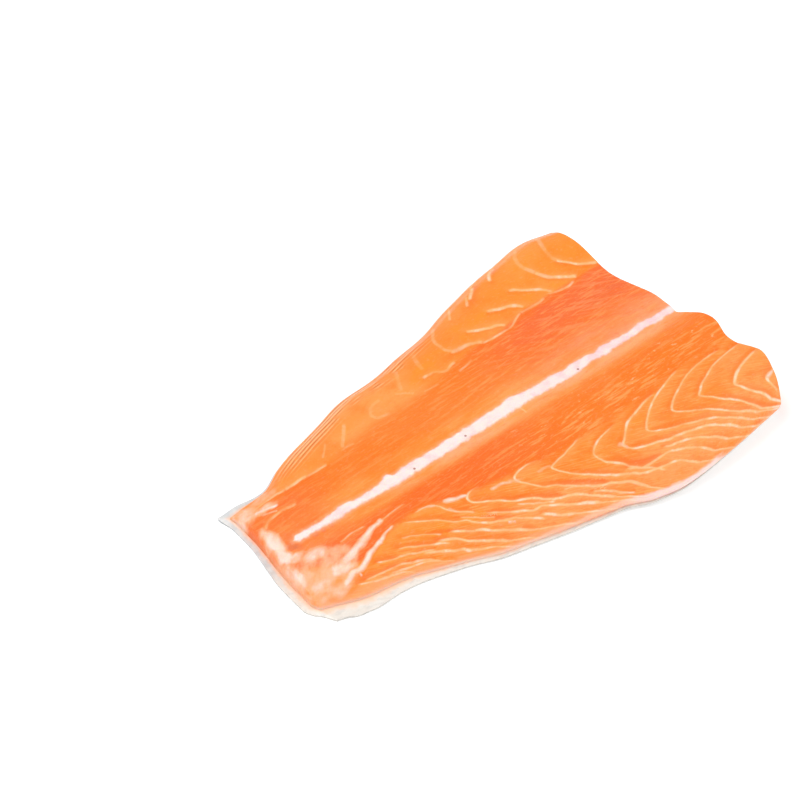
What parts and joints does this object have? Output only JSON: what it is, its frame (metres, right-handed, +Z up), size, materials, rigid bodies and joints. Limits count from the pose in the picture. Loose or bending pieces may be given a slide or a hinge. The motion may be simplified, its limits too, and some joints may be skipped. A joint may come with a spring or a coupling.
{
  "type": "salmon tail piece",
  "caption": "Raw skin-on salmon tail piece: a flat wedge of orange flesh with a pale centre line and V-shaped fat lines, lying on its silver skin.",
  "frame": {"origin": "centre of the bounding box in plan, at the height of the surface that the skin lies on", "axes": "+X along the piece from the tail to the thick cut end, +Y to the back side of the fish, +Z up, out of the flesh"},
  "size_m": [0.2428, 0.1638, 0.0247],
  "materials": {
    "flesh": "moist raw flesh, bright orange with pale fat lines and a pinkish white centre line",
    "skin": "wet scaled skin, dark grey-blue on the back side through silver to white on the belly side"
  },
  "bodies": {
    "root": {"flesh": "flesh", "skin": "skin"}
  },
  "joints": []
}
